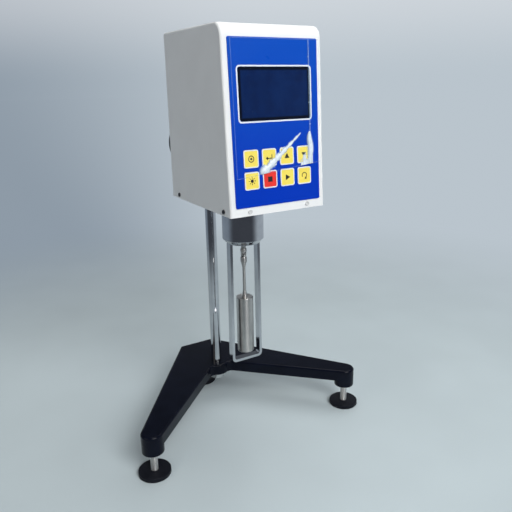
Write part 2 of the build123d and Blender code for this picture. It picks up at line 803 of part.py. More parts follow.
def keypad_board():
    """Circuit board behind the keys with one switch under each."""
    middle = (key_row_high + key_row_low) / 2
    board = Pos(0, middle, -keypad_depth - board_thickness) * plate(
        panel_width - 2, keypad_board_height, board_thickness, 1)
    plunger = cover_wall + key_play + key_flange_thickness + key_stem_length
    switch = Box(keypad_switch, keypad_switch, keypad_depth - plunger - key_travel - key_play,
                 align=(Align.CENTER, Align.CENTER, Align.MIN))
    for x, s in key_places():
        board += Pos(x, s, -keypad_depth) * switch
    for x, s, depth in face_post_places():
        board -= Pos(x, s, -keypad_depth) * Cylinder(board_hole_radius, 4 * board_thickness)
    return face * board


# ---- spirit level ----
def level_housing():
    """Bull's-eye level case with a rim on the cover's top."""
    case = rod(level_radius, head_top - level_depth, head_top, 0, level_y)
    case += rod(level_rim, head_top, head_top + level_rim_height, 0, level_y)
    case = fillet(case.edges().filter_by(GeomType.CIRCLE).sort_by(Axis.Z)[-1], 0.6)
    return case - rod(vial_radius, head_top + level_rim_height - vial_height, head_top + 3, 0, level_y)


def level_vial():
    top = head_top + level_rim_height - 0.3
    vial = rod(vial_radius, head_top + level_rim_height - vial_height, top, 0, level_y)
    return fillet(vial.edges().filter_by(GeomType.CIRCLE).sort_by(Axis.Z)[-1], 0.8)


# ---- rear connectors ----
def plug_outline(width, height, slant):
    """Plug-shaped outline: a rectangle with its two upper corners cut off."""
    x, y = width / 2, height / 2
    points = [(-x, -y), (x, -y), (x, y - slant), (x - slant, y), (slant - x, y), (-x, y - slant)]
    outline = make_face(Polyline(*points, close=True))
    return fillet(outline.vertices(), 0.8)


def mains_inlet():
    """Mains inlet: flanged body with the cavity for the plug."""
    outline = plug_outline(inlet_width, inlet_height, inlet_slant)
    body = Pos(0, 0, -inlet_depth) * extrude(outline, inlet_depth)
    body += plate(inlet_flange_width, inlet_flange_height, inlet_flange, 4)
    cavity = extrude(plug_outline(plug_width, plug_height, plug_slant), plug_depth + 1)
    body -= Pos(0, 0, inlet_flange - plug_depth) * cavity
    for x in (-inlet_screw_x, inlet_screw_x):
        body -= Pos(x, 0, 0) * Cylinder(inlet_screw_radius + 0.2, 2 * inlet_screw_length)
    return rear_wall * Pos(-inlet_x, inlet_z, 0) * body


def inlet_pins():
    """Three flat pins inside the inlet, the earth pin above the other two."""
    floor = inlet_flange - plug_depth
    pin = Box(pin_thickness, pin_height, pin_length, align=(Align.CENTER, Align.CENTER, Align.MIN))
    places = ((-pin_spread, -pin_offset), (0, pin_offset), (pin_spread, -pin_offset))
    return group(*[rear_wall * Pos(-inlet_x + x, inlet_z + z, floor) * pin for x, z in places])


def inlet_screws():
    screw = socket_screw(inlet_screw_radius, inlet_screw_length, inlet_screw_head, inlet_screw_head_height)
    return group(*[rear_wall * Pos(-inlet_x + x, inlet_z, inlet_flange) * screw
                   for x in (-inlet_screw_x, inlet_screw_x)])


def switch_frame():
    """Bezel and case of the power switch."""
    body = Pos(0, 0, -switch_depth) * plate(switch_width, switch_height, switch_depth, 0.5)
    body += plate(switch_width + 2, switch_height + 1.6, switch_bezel, 0.8)
    body -= Pos(0, 0, -6) * plate(switch_width - 3, switch_height - 4, 12, 0.3)
    return rear_wall * Pos(-switch_x, inlet_z, 0) * body


def power_rocker():
    """Rocker, stored switched off, that turns about a pin across the switch."""
    width = switch_width - 3.4
    half = (switch_height - 5.2) / 2
    outline = make_face(Plane.YZ * Polyline((-half, 0.2), (-half, 3.6), (0, 1.6), (half, 3.6), (half, 0.2),
                                            (0, -3.2), close=True))
    rocker = extrude(outline, width / 2, both=True)
    rocker = Rot(rocker_tilt, 0, 0) * rocker
    return rear_wall * Pos(-switch_x, inlet_z, rocker_pivot) * rocker


def serial_port():
    """Nine-way data connector: flange, shell and jack posts."""
    flange = plate(serial_flange_width, serial_flange_height, 0.8, 1.0)
    for x in (-serial_hole_pitch / 2, serial_hole_pitch / 2):
        flange += Pos(x, 0, 0.8) * extrude(RegularPolygon(2.4, 6, major_radius=False), 4.5)
    low, high = serial_shell_width / 2 - 1.0, serial_shell_width / 2
    half = serial_shell_height / 2
    outline = make_face(Polyline((-high, half), (high, half), (low, -half), (-low, -half), close=True))
    shell = extrude(fillet(outline.vertices(), 1.6), 6.0)
    core = Pos(0, 0, 1.0) * extrude(offset(fillet(outline.vertices(), 1.6), -0.6), 6.0)
    rear = Pos(0, 0, -8) * extrude(outline, 8)
    return rear_wall * Pos(-serial_x, inlet_z, 0) * Rot(0, 0, 90) * (flange + shell - core + rear)


# ---- electronics ----
def main_board():
    """Control board on the right side wall, with its larger components."""
    back = head_width / 2 - cover_wall - wall_board_gap
    face_x = back - board_thickness
    front = spindle_y - wall_board_ahead
    low = chassis_top + wall_board_lift
    board = block(face_x, back, front, front + wall_board_length, low, low + wall_board_height)
    chip_front = front + wall_board_length / 4
    chip_low = low + wall_board_height / 3
    board += block(face_x - chip_thickness, face_x, chip_front, chip_front + chip_size,
                   chip_low, chip_low + chip_size)
    header_front = front + header_width / 2
    header_low = low + (wall_board_height - header_length) / 5
    board += block(face_x - header_height, face_x, header_front, header_front + header_width,
                   header_low, header_low + header_length)
    board += rod_x(capacitor_radius, face_x - capacitor_length, face_x,
                   front + wall_board_length * 0.8, low + wall_board_height * 0.8)
    return board


def transformer():
    """Mains transformer on the chassis plate: laminated core round its winding."""
    left = cover_wall + side_gap - head_width / 2
    right = left + transformer_width
    front = inside_rear - back_plate_thickness - transformer_depth - 1
    core_front = front + (transformer_depth - transformer_core) / 2
    core = block(left, right, core_front, core_front + transformer_core,
                 chassis_top, chassis_top + transformer_height)
    coil = block(left + winding_inset, right - winding_inset, front, front + transformer_depth,
                 chassis_top + winding_inset, chassis_top + transformer_height - winding_inset)
    return core + fillet(coil.edges().filter_by(Axis.X), winding_inset / 2)


# ---- measuring mechanism ----
def motor_bridge():
    """Plate on four pillars that carries the motor."""
    low = chassis_top + bridge_above
    body = block(-bridge_half, bridge_half, spindle_y - bridge_half, spindle_y + bridge_half,
                 low, low + bridge_thickness)
    body = fillet(body.edges().filter_by(Axis.Z), 5)
    return body - rod(motor_pilot_radius + running, low - 1, low + bridge_thickness + 1, 0, spindle_y)


def pillars():
    """Four pillars between the chassis plate and the motor bridge."""
    offsets = (-pillar_offset, pillar_offset)
    return group(*[rod(pillar_radius, chassis_top, chassis_top + bridge_above, x, spindle_y + y)
                   for x in offsets for y in offsets])


def motor():
    """Square stepping motor with a pilot and a bore for its shaft."""
    low = chassis_top + bridge_above + bridge_thickness
    half = motor_width / 2
    body = block(-half, half, spindle_y - half, spindle_y + half, low, low + motor_height)
    body = chamfer(body.edges().filter_by(Axis.Z), 4)
    body += rod(motor_pilot_radius, low - 2, low, 0, spindle_y)
    return body - rod(motor_shaft_radius + running, low - 3, low + motor_height - 6, 0, spindle_y)


def drive_shaft():
    """Motor shaft with the driving disc and the stud that holds the spring's outer end."""
    top = chassis_top + bridge_above + bridge_thickness + motor_height - 7
    disc_low = chassis_top + drive_disc_above
    body = rod(motor_shaft_radius, disc_low + 1, top, 0, spindle_y)
    body += rod(6.0, disc_low, disc_low + 9, 0, spindle_y)
    body += rod(drive_disc_radius, disc_low, disc_low + disc_thickness, 0, spindle_y)
    body += rod(pivot_radius, chassis_top + spindle_top_above - 3, disc_low + 1, 0, spindle_y)
    for angle in (120, 240):
        window = Pos(0, spindle_y, disc_low) * Rot(0, 0, angle) * Pos(15, 0, 0) * Cylinder(4, 4)
        body -= window
    stud_x = hairspring_outer() + hairspring_strip + running + stud_radius
    return body + rod(stud_radius, chassis_top + hairspring_above - 1, disc_low + 0.5, stud_x, spindle_y)


def hairspring_outer():
    return hairspring_inner + hairspring_pitch * hairspring_turns


def hairspring():
    """Flat spiral spring between the spindle's collet and the driving disc's stud."""
    steps = 24 * hairspring_turns
    inner, outer = [], []
    for i in range(steps + 1):
        angle = 2 * pi * hairspring_turns * i / steps
        radius = hairspring_inner + hairspring_pitch * angle / (2 * pi)
        inner.append((radius * cos(angle), radius * sin(angle)))
        outer.append(((radius + hairspring_strip) * cos(angle), (radius + hairspring_strip) * sin(angle)))
    strip = make_face(Polyline(*inner, *reversed(outer), close=True))
    collet = Circle(hairspring_inner + 0.1) - Circle(spindle_radius)
    ring = extrude(collet, hairspring_height)
    return Pos(0, spindle_y, chassis_top + hairspring_above) * (ring + extrude(strip, hairspring_height))


def spindle_shaft():
    """Measuring shaft, bored at the top for the drive's pivot and turned to a shoulder below."""
    top = chassis_top + spindle_top_above
    shoulder = housing_bottom + bearing_height
    body = rod(spindle_radius, upper_yoke_top - shaft_in_yoke, top, 0, spindle_y)
    body += rod(spindle_radius + 1, shoulder + running, shoulder + 2, 0, spindle_y)
    return body - rod(pivot_radius + running, top - 4, top + 1, 0, spindle_y)


def spindle_disc():
    """Thin disc on the measuring shaft, with one flag past its rim."""
    low = chassis_top + spindle_disc_above
    body = rod(spindle_disc_radius, low, low + disc_thickness, 0, spindle_y)
    body += rod(5, low - 4, low, 0, spindle_y)
    for angle in (0, 90, 180, 270):
        body -= Pos(0, spindle_y, low) * Rot(0, 0, angle + 45) * Pos(12, 0, 0) * Cylinder(4.5, 4)
    return body - rod(spindle_radius, low - 5, low + 3, 0, spindle_y)


def optical_sensors():
    """Two fork sensors on one post, one round the edge of each disc."""
    back = spindle_y - drive_disc_radius - sensor_post_gap
    front = back - sensor_post_depth
    top = chassis_top + drive_disc_above + sensor_half + disc_thickness
    body = block(-sensor_half, sensor_half, front, back, chassis_top, top)
    discs = ((drive_disc_above, drive_disc_radius), (spindle_disc_above, spindle_disc_radius))
    for level, edge in discs:
        middle = chassis_top + level + disc_thickness / 2
        rim_y = spindle_y - edge
        inner = rim_y + sensor_overlap
        body += block(-sensor_half, sensor_half, front, inner, middle - sensor_half, middle + sensor_half)
        body -= block(-sensor_half - 1, sensor_half + 1, rim_y - sensor_overlap / 2, inner + 1,
                      middle - sensor_slot / 2, middle + sensor_slot / 2)
    return body


def bearing_housing():
    """Flanged tube through the chassis plate that holds the lower bearing."""
    seat_top = housing_bottom + bearing_height
    flange_top = chassis_top + housing_flange
    body = rod(housing_flange_radius, chassis_top, flange_top, 0, spindle_y)
    body += rod(housing_radius, housing_bottom, chassis_top, 0, spindle_y)
    body -= rod(spindle_radius + 2, seat_top, flange_top + 1, 0, spindle_y)
    return body - rod(bearing_radius, housing_bottom - 1, seat_top, 0, spindle_y)


def lower_bearing():
    """Jewelled bearing ring of the measuring shaft."""
    return tube(bearing_radius, spindle_radius + running, housing_bottom,
                housing_bottom + bearing_height, 0, spindle_y)


# ---- cup and guard ----
def cup_skirt():
    """Plated cup under the head, threaded at its mouth for the guard."""
    inner = cup_radius - cup_wall
    throat = housing_radius + 1.5
    mouth_top = lip_bottom + mouth_thickness
    body = turned([(throat, chassis_bottom), (cup_radius, chassis_bottom), (cup_radius, cup_bottom),
                   (ring_radius + 1.0, lip_bottom), (mouth_radius, lip_bottom), (mouth_radius, mouth_top),
                   (inner, mouth_top + 3), (inner, chassis_bottom - 3), (throat, chassis_bottom - 3)],
                  0, spindle_y)
    return fillet(rim(body, cup_radius, cup_bottom), 1.0)


def guard_frame():
    """Bent flat-bar guard hanging from a ring that screws into the cup."""
    low, high = guard_bottom, ring_bottom + 0.5
    inner_low, inner_high = guard_half_low - guard_bar, ring_radius - guard_bar
    outer = Polyline((-ring_radius, high), (-guard_half_low, low), (guard_half_low, low),
                     (ring_radius, high), close=True)
    inner = Polyline((-inner_high, high + 1), (-inner_low, low + guard_bar),
                     (inner_low, low + guard_bar), (inner_high, high + 1), close=True)
    bar = make_face(Plane.XZ * outer)
    bar = fillet(bar.vertices().group_by(Axis.Z)[0], guard_corner)
    gap = make_face(Plane.XZ * inner)
    gap = fillet(gap.vertices().group_by(Axis.Z)[0], guard_corner - guard_bar)
    frame = Pos(0, spindle_y, 0) * extrude(bar - gap, guard_width / 2, both=True)
    thread_radius = mouth_radius - running
    thread_top = ring_bottom + ring_thread
    ring = turned([(ring_radius - ring_wall, ring_bottom), (ring_radius, ring_bottom),
                   (ring_radius, lip_bottom), (thread_radius, lip_bottom), (thread_radius, thread_top),
                   (ring_radius - ring_wall, thread_top)], 0, spindle_y)
    return fillet(rim(ring, ring_radius, ring_bottom), 0.7) + frame


# ---- universal joint and rotor ----
def yoke(radius, far_end, turn):
    """Fork of the universal joint, its body reaching to far_end and its pin turned from X."""
    towards = 1 if far_end > joint_z else -1
    floor = joint_z + towards * fork_depth
    past = floor + towards * fork_edge
    tip = joint_z - towards * radius
    body = rod(radius, min(floor, far_end), max(floor, far_end))
    body = fillet(body.edges().filter_by(GeomType.CIRCLE), fork_edge)
    ears = rod_x(ear_half, -radius, radius, 0, joint_z)
    ears += block(-radius, radius, -ear_half, ear_half, min(joint_z, past), max(joint_z, past))
    ears &= rod(radius - ear_inset, joint_z - radius, max(past, 2 * joint_z - past))
    ears -= block(-fork_gap, fork_gap, -radius, radius, min(tip, floor), max(tip, floor))
    body += ears
    body -= rod_x(cross_pin_radius + running, -2 * radius, 2 * radius, 0, joint_z)
    return Pos(0, spindle_y, 0) * Rot(0, 0, turn) * body


def upper_yoke():
    """Fork on the end of the measuring shaft; its pin lies along X."""
    barrel_top = joint_z + upper_yoke_body
    body = yoke(upper_yoke_radius, barrel_top, 0)
    body += rod(upper_neck_radius, barrel_top - fork_edge, upper_yoke_top, 0, spindle_y)
    return body - rod(spindle_radius, upper_yoke_top - shaft_in_yoke, upper_yoke_top + 1, 0, spindle_y)


def lower_yoke():
    """Fork that the rotor screws into; its pin lies along Y."""
    foot = joint_z - lower_yoke_body
    start = foot + fork_edge
    body = yoke(lower_yoke_radius, foot, 90)
    cone = turned([(0, start), (lower_yoke_radius - ear_inset, start), (stem_radius + ear_inset, stem_top),
                   (0, stem_top)], 0, spindle_y)
    return body + cone - rod(stem_radius, stem_top - 1, stem_top + stem_thread, 0, spindle_y)


def joint_cross():
    """Cross of the universal joint: a centre block with two pins at right angles."""
    body = Box(2 * cross_half, 2 * cross_half, 2 * cross_half)
    upper_pin = upper_yoke_radius - ear_inset - pin_recess
    lower_pin = lower_yoke_radius - ear_inset - pin_recess
    body += rod_x(cross_pin_radius, -upper_pin, upper_pin, 0, 0)
    body += rod_y(cross_pin_radius, -lower_pin, lower_pin, 0, 0)
    return Pos(0, spindle_y, joint_z) * body


def rotor():
    """Cylindrical rotor with its slender stem and threaded end."""
    inner = rotor_radius - rotor_edge
    end = stem_top + stem_thread
    return turned([(0, end), (stem_radius, end), (stem_radius, rotor_top + stem_flare),
                   (flare_radius, rotor_top), (inner, rotor_top), (rotor_radius, rotor_top - rotor_edge),
                   (rotor_radius, rotor_bottom + rotor_edge), (inner, rotor_bottom), (0, rotor_bottom)],
                  0, spindle_y)


nodes = {
    "base_casting": base_casting(), "column": column(), "column_nut": column_nut(),
    "column_cap": column_cap(), "lift_carriage": lift_carriage(),
    "carriage_screws": carriage_screws(), "pinion_shaft": pinion_shaft(), "pinion_bushes": pinion_bushes(), "lift_knob": lift_knob(),
    "lock_knob": lock_knob(), "lock_pad": lock_pad(),
    "head_cover": head_cover(), "chassis_plate": chassis_plate(), "back_plate": back_plate(),
    "cover_screws": cover_screws(), "front_panel": front_panel(), "display_window": display_window(),
    "display_module": display_module(), "display_glass": display_glass(), "keypad_board": keypad_board(),
    "level_housing": level_housing(), "level_vial": level_vial(),
    "mains_inlet": mains_inlet(), "inlet_pins": inlet_pins(), "inlet_screws": inlet_screws(),
    "switch_frame": switch_frame(), "power_rocker": power_rocker(), "serial_port": serial_port(),
    "main_board": main_board(), "transformer": transformer(),
    "motor_bridge": motor_bridge(), "pillars": pillars(), "motor": motor(), "drive_shaft": drive_shaft(),
    "hairspring": hairspring(), "spindle_shaft": spindle_shaft(), "spindle_disc": spindle_disc(),
    "optical_sensors": optical_sensors(), "bearing_housing": bearing_housing(),
    "lower_bearing": lower_bearing(),
    "cup_skirt": cup_skirt(), "guard_frame": guard_frame(),
    "upper_yoke": upper_yoke(), "joint_cross": joint_cross(), "lower_yoke": lower_yoke(),
    "rotor": rotor(),
}
for name, (x, y) in foot_places.items():
    nodes["foot_pad_" + name] = foot_pad(x, y)
    nodes["foot_screw_" + name] = foot_screw(x, y)
key_names = ["key_mode", "key_enter", "key_up", "key_down",
             "key_light", "key_stop", "key_run", "key_scan"]
for name, (x, s) in zip(key_names, key_places()):
    nodes[name] = key(x, s)

os.makedirs("parts", exist_ok=True)
for name, shape in nodes.items():
    export_step(shape, "parts/" + name + ".step")
print(len(nodes), "nodes written")
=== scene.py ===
from math import atan2, cos, pi, radians, sin

import bmesh
import bpy
import numpy as np
from mathutils import Matrix, Vector


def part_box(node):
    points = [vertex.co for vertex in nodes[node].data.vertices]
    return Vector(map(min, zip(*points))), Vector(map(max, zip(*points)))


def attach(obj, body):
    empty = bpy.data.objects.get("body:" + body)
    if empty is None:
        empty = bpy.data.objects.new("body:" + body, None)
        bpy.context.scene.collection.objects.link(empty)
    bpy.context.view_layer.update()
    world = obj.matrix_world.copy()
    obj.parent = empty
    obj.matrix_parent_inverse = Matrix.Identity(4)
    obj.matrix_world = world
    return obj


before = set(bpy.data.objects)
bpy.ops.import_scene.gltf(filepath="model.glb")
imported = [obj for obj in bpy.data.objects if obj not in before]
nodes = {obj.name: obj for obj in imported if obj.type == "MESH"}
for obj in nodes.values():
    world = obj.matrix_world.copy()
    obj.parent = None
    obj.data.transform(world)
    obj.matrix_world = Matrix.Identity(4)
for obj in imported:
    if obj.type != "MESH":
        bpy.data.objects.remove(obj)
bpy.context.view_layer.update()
print("frame loaded:", len(nodes), "nodes")

mm = 0.001

# the head's front leans back: points on it are across, up the slope and out of it
slope = dict(front=-0.1067, foot=0.2748, setback=0.0104, height=0.1672)
lean = atan2(slope["setback"], slope["height"])
slopeUp = np.array([0, sin(lean), cos(lean)])
slopeOut = np.array([0, -cos(lean), sin(lean)])
slopeFoot = np.array([0, slope["front"], slope["foot"]])


# a socket with the arithmetic that the finishes use
class Wire:
    def __init__(self, paint, socket):
        self.paint, self.socket = paint, socket

    def maths(self, operation, *terms):
        return self.paint.node("Math", dict(operation=operation), dict(enumerate(terms)))

    def __add__(self, other): return self.maths("ADD", self, other)
    def __radd__(self, other): return self.maths("ADD", other, self)
    def __sub__(self, other): return self.maths("SUBTRACT", self, other)
    def __rsub__(self, other): return self.maths("SUBTRACT", other, self)
    def __mul__(self, other): return self.maths("MULTIPLY", self, other)
    def __rmul__(self, other): return self.maths("MULTIPLY", other, self)
    def __truediv__(self, other): return self.maths("DIVIDE", self, other)
    def __abs__(self): return self.maths("ABSOLUTE", self)
    def higher(self, other): return self.maths("MAXIMUM", self, other)
    def lower(self, other): return self.maths("MINIMUM", self, other)
    def root(self): return self.maths("SQRT", self)

    # runs smoothly from 0 at start to 1 at end
    def ease(self, start, end):
        return self.paint.node("MapRange", dict(interpolation_type="SMOOTHSTEP"),
                               {"Value": self, "From Min": start, "From Max": end})


# one node tree, for a material or the world
class Paint:
    def __init__(self, name, owner=None):
        self.owner = owner or bpy.data.materials.new(name)
        self.owner.use_nodes = True
        self.tree = self.owner.node_tree
        self.tree.nodes.clear()

    # adds a node: its settings are set first, then its sockets take numbers, colours or wires
    def node(self, kind, settings=None, sockets=None, out=0):
        made = self.tree.nodes.new("ShaderNode" + kind)
        for key, value in (settings or {}).items():
            setattr(made, key, value)
        for key, value in (sockets or {}).items():
            if isinstance(value, Wire):
                self.tree.links.new(value.socket, made.inputs[key])
            elif made.inputs[key].type == "RGBA" and len(value) == 3:
                made.inputs[key].default_value = (*value, 1)
            else:
                made.inputs[key].default_value = value
        return Wire(self, made.outputs[out]) if len(made.outputs) else None

    def place(self):
        return self.node("TexCoord", out=3)

    # the place in metres as three numbers
    def xyz(self):
        split = self.node("SeparateXYZ", sockets={0: self.place()})
        return [Wire(self, part) for part in split.socket.node.outputs]

    # fine or coarse mottling, grains across in metres, stretched along the axes
    def mottle(self, grain, stretch=(1, 1, 1), detail=2.0, rough=0.5):
        spread = self.node("Mapping", dict(vector_type="POINT"),
                           {"Vector": self.place(), "Scale": tuple(s / grain for s in stretch)})
        return self.node("TexNoise", sockets={"Vector": spread, "Scale": 1.0, "Detail": detail,
                                              "Roughness": rough})

    def tint(self, factor, first, second):
        return self.node("Mix", dict(data_type="RGBA"), {0: factor, 6: first, 7: second}, out=2)

    def bump(self, height, depth, strength=1.0):
        return self.node("Bump", sockets={"Height": height, "Distance": depth, "Strength": strength})

    def surface(self, **sockets):
        named = {key.replace("_", " "): value for key, value in sockets.items()}
        shader = self.node("BsdfPrincipled", sockets=named)
        self.node("OutputMaterial", sockets={"Surface": shader})
        return self.owner


# paint with an orange-peel skin, and a slight drift of its colour
def coated(name, values):
    paint = Paint(name)
    drift = paint.mottle(values["drift"], detail=3.0)
    peel = paint.mottle(values["peel"], detail=1.0)
    colour = paint.tint(drift.ease(0.35, 0.65), values["colour"], values["shade"])
    rough = values["rough"] + (drift - 0.5) * values["roughDrift"]
    return paint.surface(Base_Color=colour, Roughness=rough, Specular_IOR_Level=values["gloss"],
                         Normal=paint.bump(peel, values["depth"]))


# bare or plated metal: hair lines run round or along the piece, with a faint haze;
# turning is how far the marks left by the lathe draw highlights out along the piece
def metal(name, values):
    paint = Paint(name)
    lines = paint.mottle(values["line"], values["stretch"], detail=2.0)
    haze = paint.mottle(values["haze"], detail=3.0)
    colour = paint.tint(haze.ease(0.3, 0.7), values["colour"], values["shade"])
    rough = values["rough"] + (haze - 0.5) * values["roughDrift"] + (lines - 0.5) * values["lineRough"]
    return paint.surface(Base_Color=colour, Metallic=1.0, Roughness=rough.higher(0.02),
                         Anisotropic=values.get("turning", 0.0), Anisotropic_Rotation=0.25,
                         Normal=paint.bump(lines, values["depth"]))


# moulded plastic with a spark-eroded grain
def moulded(name, values):
    paint = Paint(name)
    grain = paint.mottle(values["grain"], detail=2.0, rough=0.6)
    wear = paint.mottle(values["wear"], detail=3.0)
    colour = paint.tint(wear.ease(0.3, 0.7), values["colour"], values["shade"])
    return paint.surface(Base_Color=colour, Roughness=values["rough"] + (wear - 0.5) * 0.12,
                         Specular_IOR_Level=values["gloss"], Normal=paint.bump(grain, values["depth"]))


headWhite = coated("headWhite", dict(
    colour=(0.85, 0.865, 0.865), shade=(0.83, 0.845, 0.845), drift=0.03, peel=0.0009, depth=0.00003,
    rough=0.45, roughDrift=0.10, gloss=0.35))
enamel = coated("blackEnamel", dict(
    colour=(0.0025, 0.0035, 0.009), shade=(0.0035, 0.005, 0.012), drift=0.02, peel=0.0016, depth=0.00004,
    rough=0.20, roughDrift=0.06, gloss=0.12))
chrome = metal("chromePlate", dict(
    colour=(0.54, 0.55, 0.575), shade=(0.48, 0.49, 0.52), line=0.0006, stretch=(1, 1, 0.02), haze=0.012,
    rough=0.07, roughDrift=0.04, lineRough=0.03, depth=0.000002))
steel = metal("brightSteel", dict(
    colour=(0.60, 0.60, 0.60), shade=(0.52, 0.52, 0.53), line=0.0004, stretch=(1, 1, 1), haze=0.004,
    rough=0.24, roughDrift=0.12, lineRough=0.06, depth=0.000006))
turnedSteel = metal("turnedSteel", dict(
    colour=(0.54, 0.53, 0.51), shade=(0.47, 0.46, 0.45), line=0.00018, stretch=(0.01, 0.01, 1), haze=0.008,
    rough=0.30, roughDrift=0.05, lineRough=0.08, depth=0.000006, turning=0.9))
carriageGrey = coated("carriageGrey", dict(
    colour=(0.12, 0.125, 0.13), shade=(0.095, 0.10, 0.105), drift=0.015, peel=0.0011, depth=0.00005,
    rough=0.42, roughDrift=0.12, gloss=0.4))
bronze = metal("bronze", dict(
    colour=(0.55, 0.36, 0.17), shade=(0.45, 0.28, 0.12), line=0.0003, stretch=(1, 1, 1), haze=0.003,
    rough=0.28, roughDrift=0.12, lineRough=0.05, depth=0.000004))
chassisMetal = metal("chassisMetal", dict(
    colour=(0.55, 0.56, 0.57), shade=(0.48, 0.49, 0.50), line=0.0003, stretch=(0.02, 1, 1), haze=0.02,
    rough=0.36, roughDrift=0.10, lineRough=0.12, depth=0.000006))
knobBlack = moulded("knobBlack", dict(
    colour=(0.012, 0.012, 0.014), shade=(0.022, 0.022, 0.024), grain=0.0004, wear=0.006, depth=0.00002,
    rough=0.38, gloss=0.4))
footBlack = moulded("footBlack", dict(
    colour=(0.004, 0.005, 0.009), shade=(0.008, 0.009, 0.014), grain=0.0005, wear=0.008, depth=0.00003,
    rough=0.50, gloss=0.15))
socketBlack = moulded("socketBlack", dict(
    colour=(0.010, 0.010, 0.011), shade=(0.016, 0.016, 0.017), grain=0.0003, wear=0.005, depth=0.000015,
    rough=0.32, gloss=0.4))
motorBlack = moulded("motorBlack", dict(
    colour=(0.02, 0.02, 0.022), shade=(0.03, 0.03, 0.032), grain=0.0005, wear=0.01, depth=0.00002,
    rough=0.45, gloss=0.4))


# printed film of the front panel: satin, with painted light that makes it a little lighter towards its top
def panelPrint():
    values = dict(low=(0.0005, 0.037, 0.46), high=(0.0010, 0.070, 0.48), grain=0.00035, depth=0.000006)
    paint = Paint("panelBlue")
    up = paint.xyz()[2]
    drift = paint.mottle(0.02, detail=2.0)
    # painted light: the share up the panel, with a random drift, runs the blue from the low colour to the
    # lighter high one
    paintedLightClimb = (up - slope["foot"]) / slope["height"] + (drift - 0.5) * 0.12
    colour = paint.tint(paintedLightClimb.ease(0.05, 0.95), values["low"], values["high"])
    grain = paint.mottle(values["grain"], detail=2.0)
    return paint.surface(Base_Color=colour, Roughness=0.30 + (drift - 0.5) * 0.10, Specular_IOR_Level=0.15,
                         Normal=paint.bump(grain, values["depth"]))


# keycap film: satin colour with a fine grain and a slight drift between two shades
def keyPrint(name, colour, shade):
    paint = Paint(name)
    drift = paint.mottle(0.006, detail=2.0)
    grain = paint.mottle(0.0003, detail=2.0)
    return paint.surface(Base_Color=paint.tint(drift.ease(0.3, 0.7), colour, shade), Specular_IOR_Level=0.35,
                         Roughness=0.34 + (drift - 0.5) * 0.1, Normal=paint.bump(grain, 0.000006))


# the display behind its window: near black at the edge, deep blue inside
def screenPrint():
    values = dict(middle=107.8 * mm, halfWide=36.2 * mm, halfTall=21.0 * mm, soft=1.6 * mm,
                  edge=(0.001, 0.003, 0.012), deep=(0.003, 0.017, 0.085), deepShade=(0.002, 0.012, 0.065))
    paint = Paint("windowDark")
    x, y, z = paint.xyz()
    up = (y - slope["front"]) * sin(lean) + (z - slope["foot"]) * cos(lean)
    inside = (values["halfWide"] - abs(x)).lower(values["halfTall"] - abs(up - values["middle"]))
    drift = paint.mottle(0.012, detail=2.0)
    deep = paint.tint(drift.ease(0.3, 0.7), values["deep"], values["deepShade"])
    colour = paint.tint(inside.ease(0, values["soft"]), values["edge"], deep)
    return paint.surface(Base_Color=colour, Roughness=0.10 + (drift - 0.5) * 0.05, Specular_IOR_Level=0.2)


# circuit board: green solder mask over faint tracks
def boardPrint():
    paint = Paint("boardGreen")
    tracks = paint.node("TexVoronoi", dict(distance="MANHATTAN"), {"Vector": paint.place(), "Scale": 420.0})
    colour = paint.tint(tracks.ease(0.25, 0.35), (0.012, 0.10, 0.035), (0.005, 0.055, 0.02))
    return paint.surface(Base_Color=colour, Roughness=0.32 + tracks * 0.1, Normal=paint.bump(tracks, 0.00003))


# the level's liquid, seen through its clear top
def liquidPrint():
    paint = Paint("levelLiquid")
    drift = paint.mottle(0.004, detail=2.0)
    colour = paint.tint(drift.ease(0.3, 0.7), (0.50, 0.66, 0.05), (0.42, 0.58, 0.04))
    return paint.surface(Base_Color=colour, Roughness=0.06 + drift * 0.05, Coat_Weight=1.0, Coat_Roughness=0.02)


# plain print, or the level's bubble, with a slight unevenness
def inkPrint(name, colour, shade):
    paint = Paint(name)
    drift = paint.mottle(0.0012, detail=3.0)
    return paint.surface(Base_Color=paint.tint(drift.ease(0.3, 0.7), colour, shade),
                         Roughness=0.36 + (drift - 0.5) * 0.1, Normal=paint.bump(drift, 0.000004))


# transformer: varnished laminations round the winding
def laminated():
    paint = Paint("transformerSteel")
    sheets = paint.node("TexWave", dict(wave_type="BANDS", bands_direction="Y"),
                        {"Vector": paint.place(), "Scale": 600.0})
    colour = paint.tint(sheets, (0.10, 0.085, 0.07), (0.16, 0.13, 0.10))
    return paint.surface(Base_Color=colour, Metallic=0.6, Roughness=0.38 + sheets * 0.1,
                         Normal=paint.bump(sheets, 0.00005))


# bright zinc with the thread's ridges, one every pitch up the screw
def threaded():
    values = dict(pitch=1.25 * mm, depth=0.22 * mm)
    paint = Paint("zincThread")
    waves = pi / 10 / values["pitch"]   # a wave is pi / 10 long at a scale of 1
    ridges = paint.node("TexWave", dict(wave_type="BANDS", bands_direction="Z"),
                        {"Vector": paint.place(), "Scale": waves})
    haze = paint.mottle(0.002, detail=3.0)
    colour = paint.tint(haze.ease(0.3, 0.7), (0.80, 0.80, 0.78), (0.72, 0.72, 0.71))
    return paint.surface(Base_Color=colour, Metallic=0.85, Roughness=0.30 + (haze - 0.5) * 0.12,
                         Normal=paint.bump(ridges, values["depth"]))


# cover screws: blackened at the sides, painted with the cover at the front
def coverScrewFinish():
    values = dict(front=(103.0 * mm, 103.6 * mm), dark=(0.05, 0.05, 0.055), worn=(0.09, 0.09, 0.095),
                  paint=(0.66, 0.67, 0.67))
    paint = Paint("coverScrews")
    forward = 0 - paint.xyz()[1]
    haze = paint.mottle(0.002, detail=3.0)
    painted = forward.ease(*values["front"])
    colour = paint.tint(painted, paint.tint(haze, values["dark"], values["worn"]), values["paint"])
    return paint.surface(Base_Color=colour, Metallic=1 - painted,
                         Roughness=0.36 + (haze - 0.5) * 0.15 + painted * 0.06)


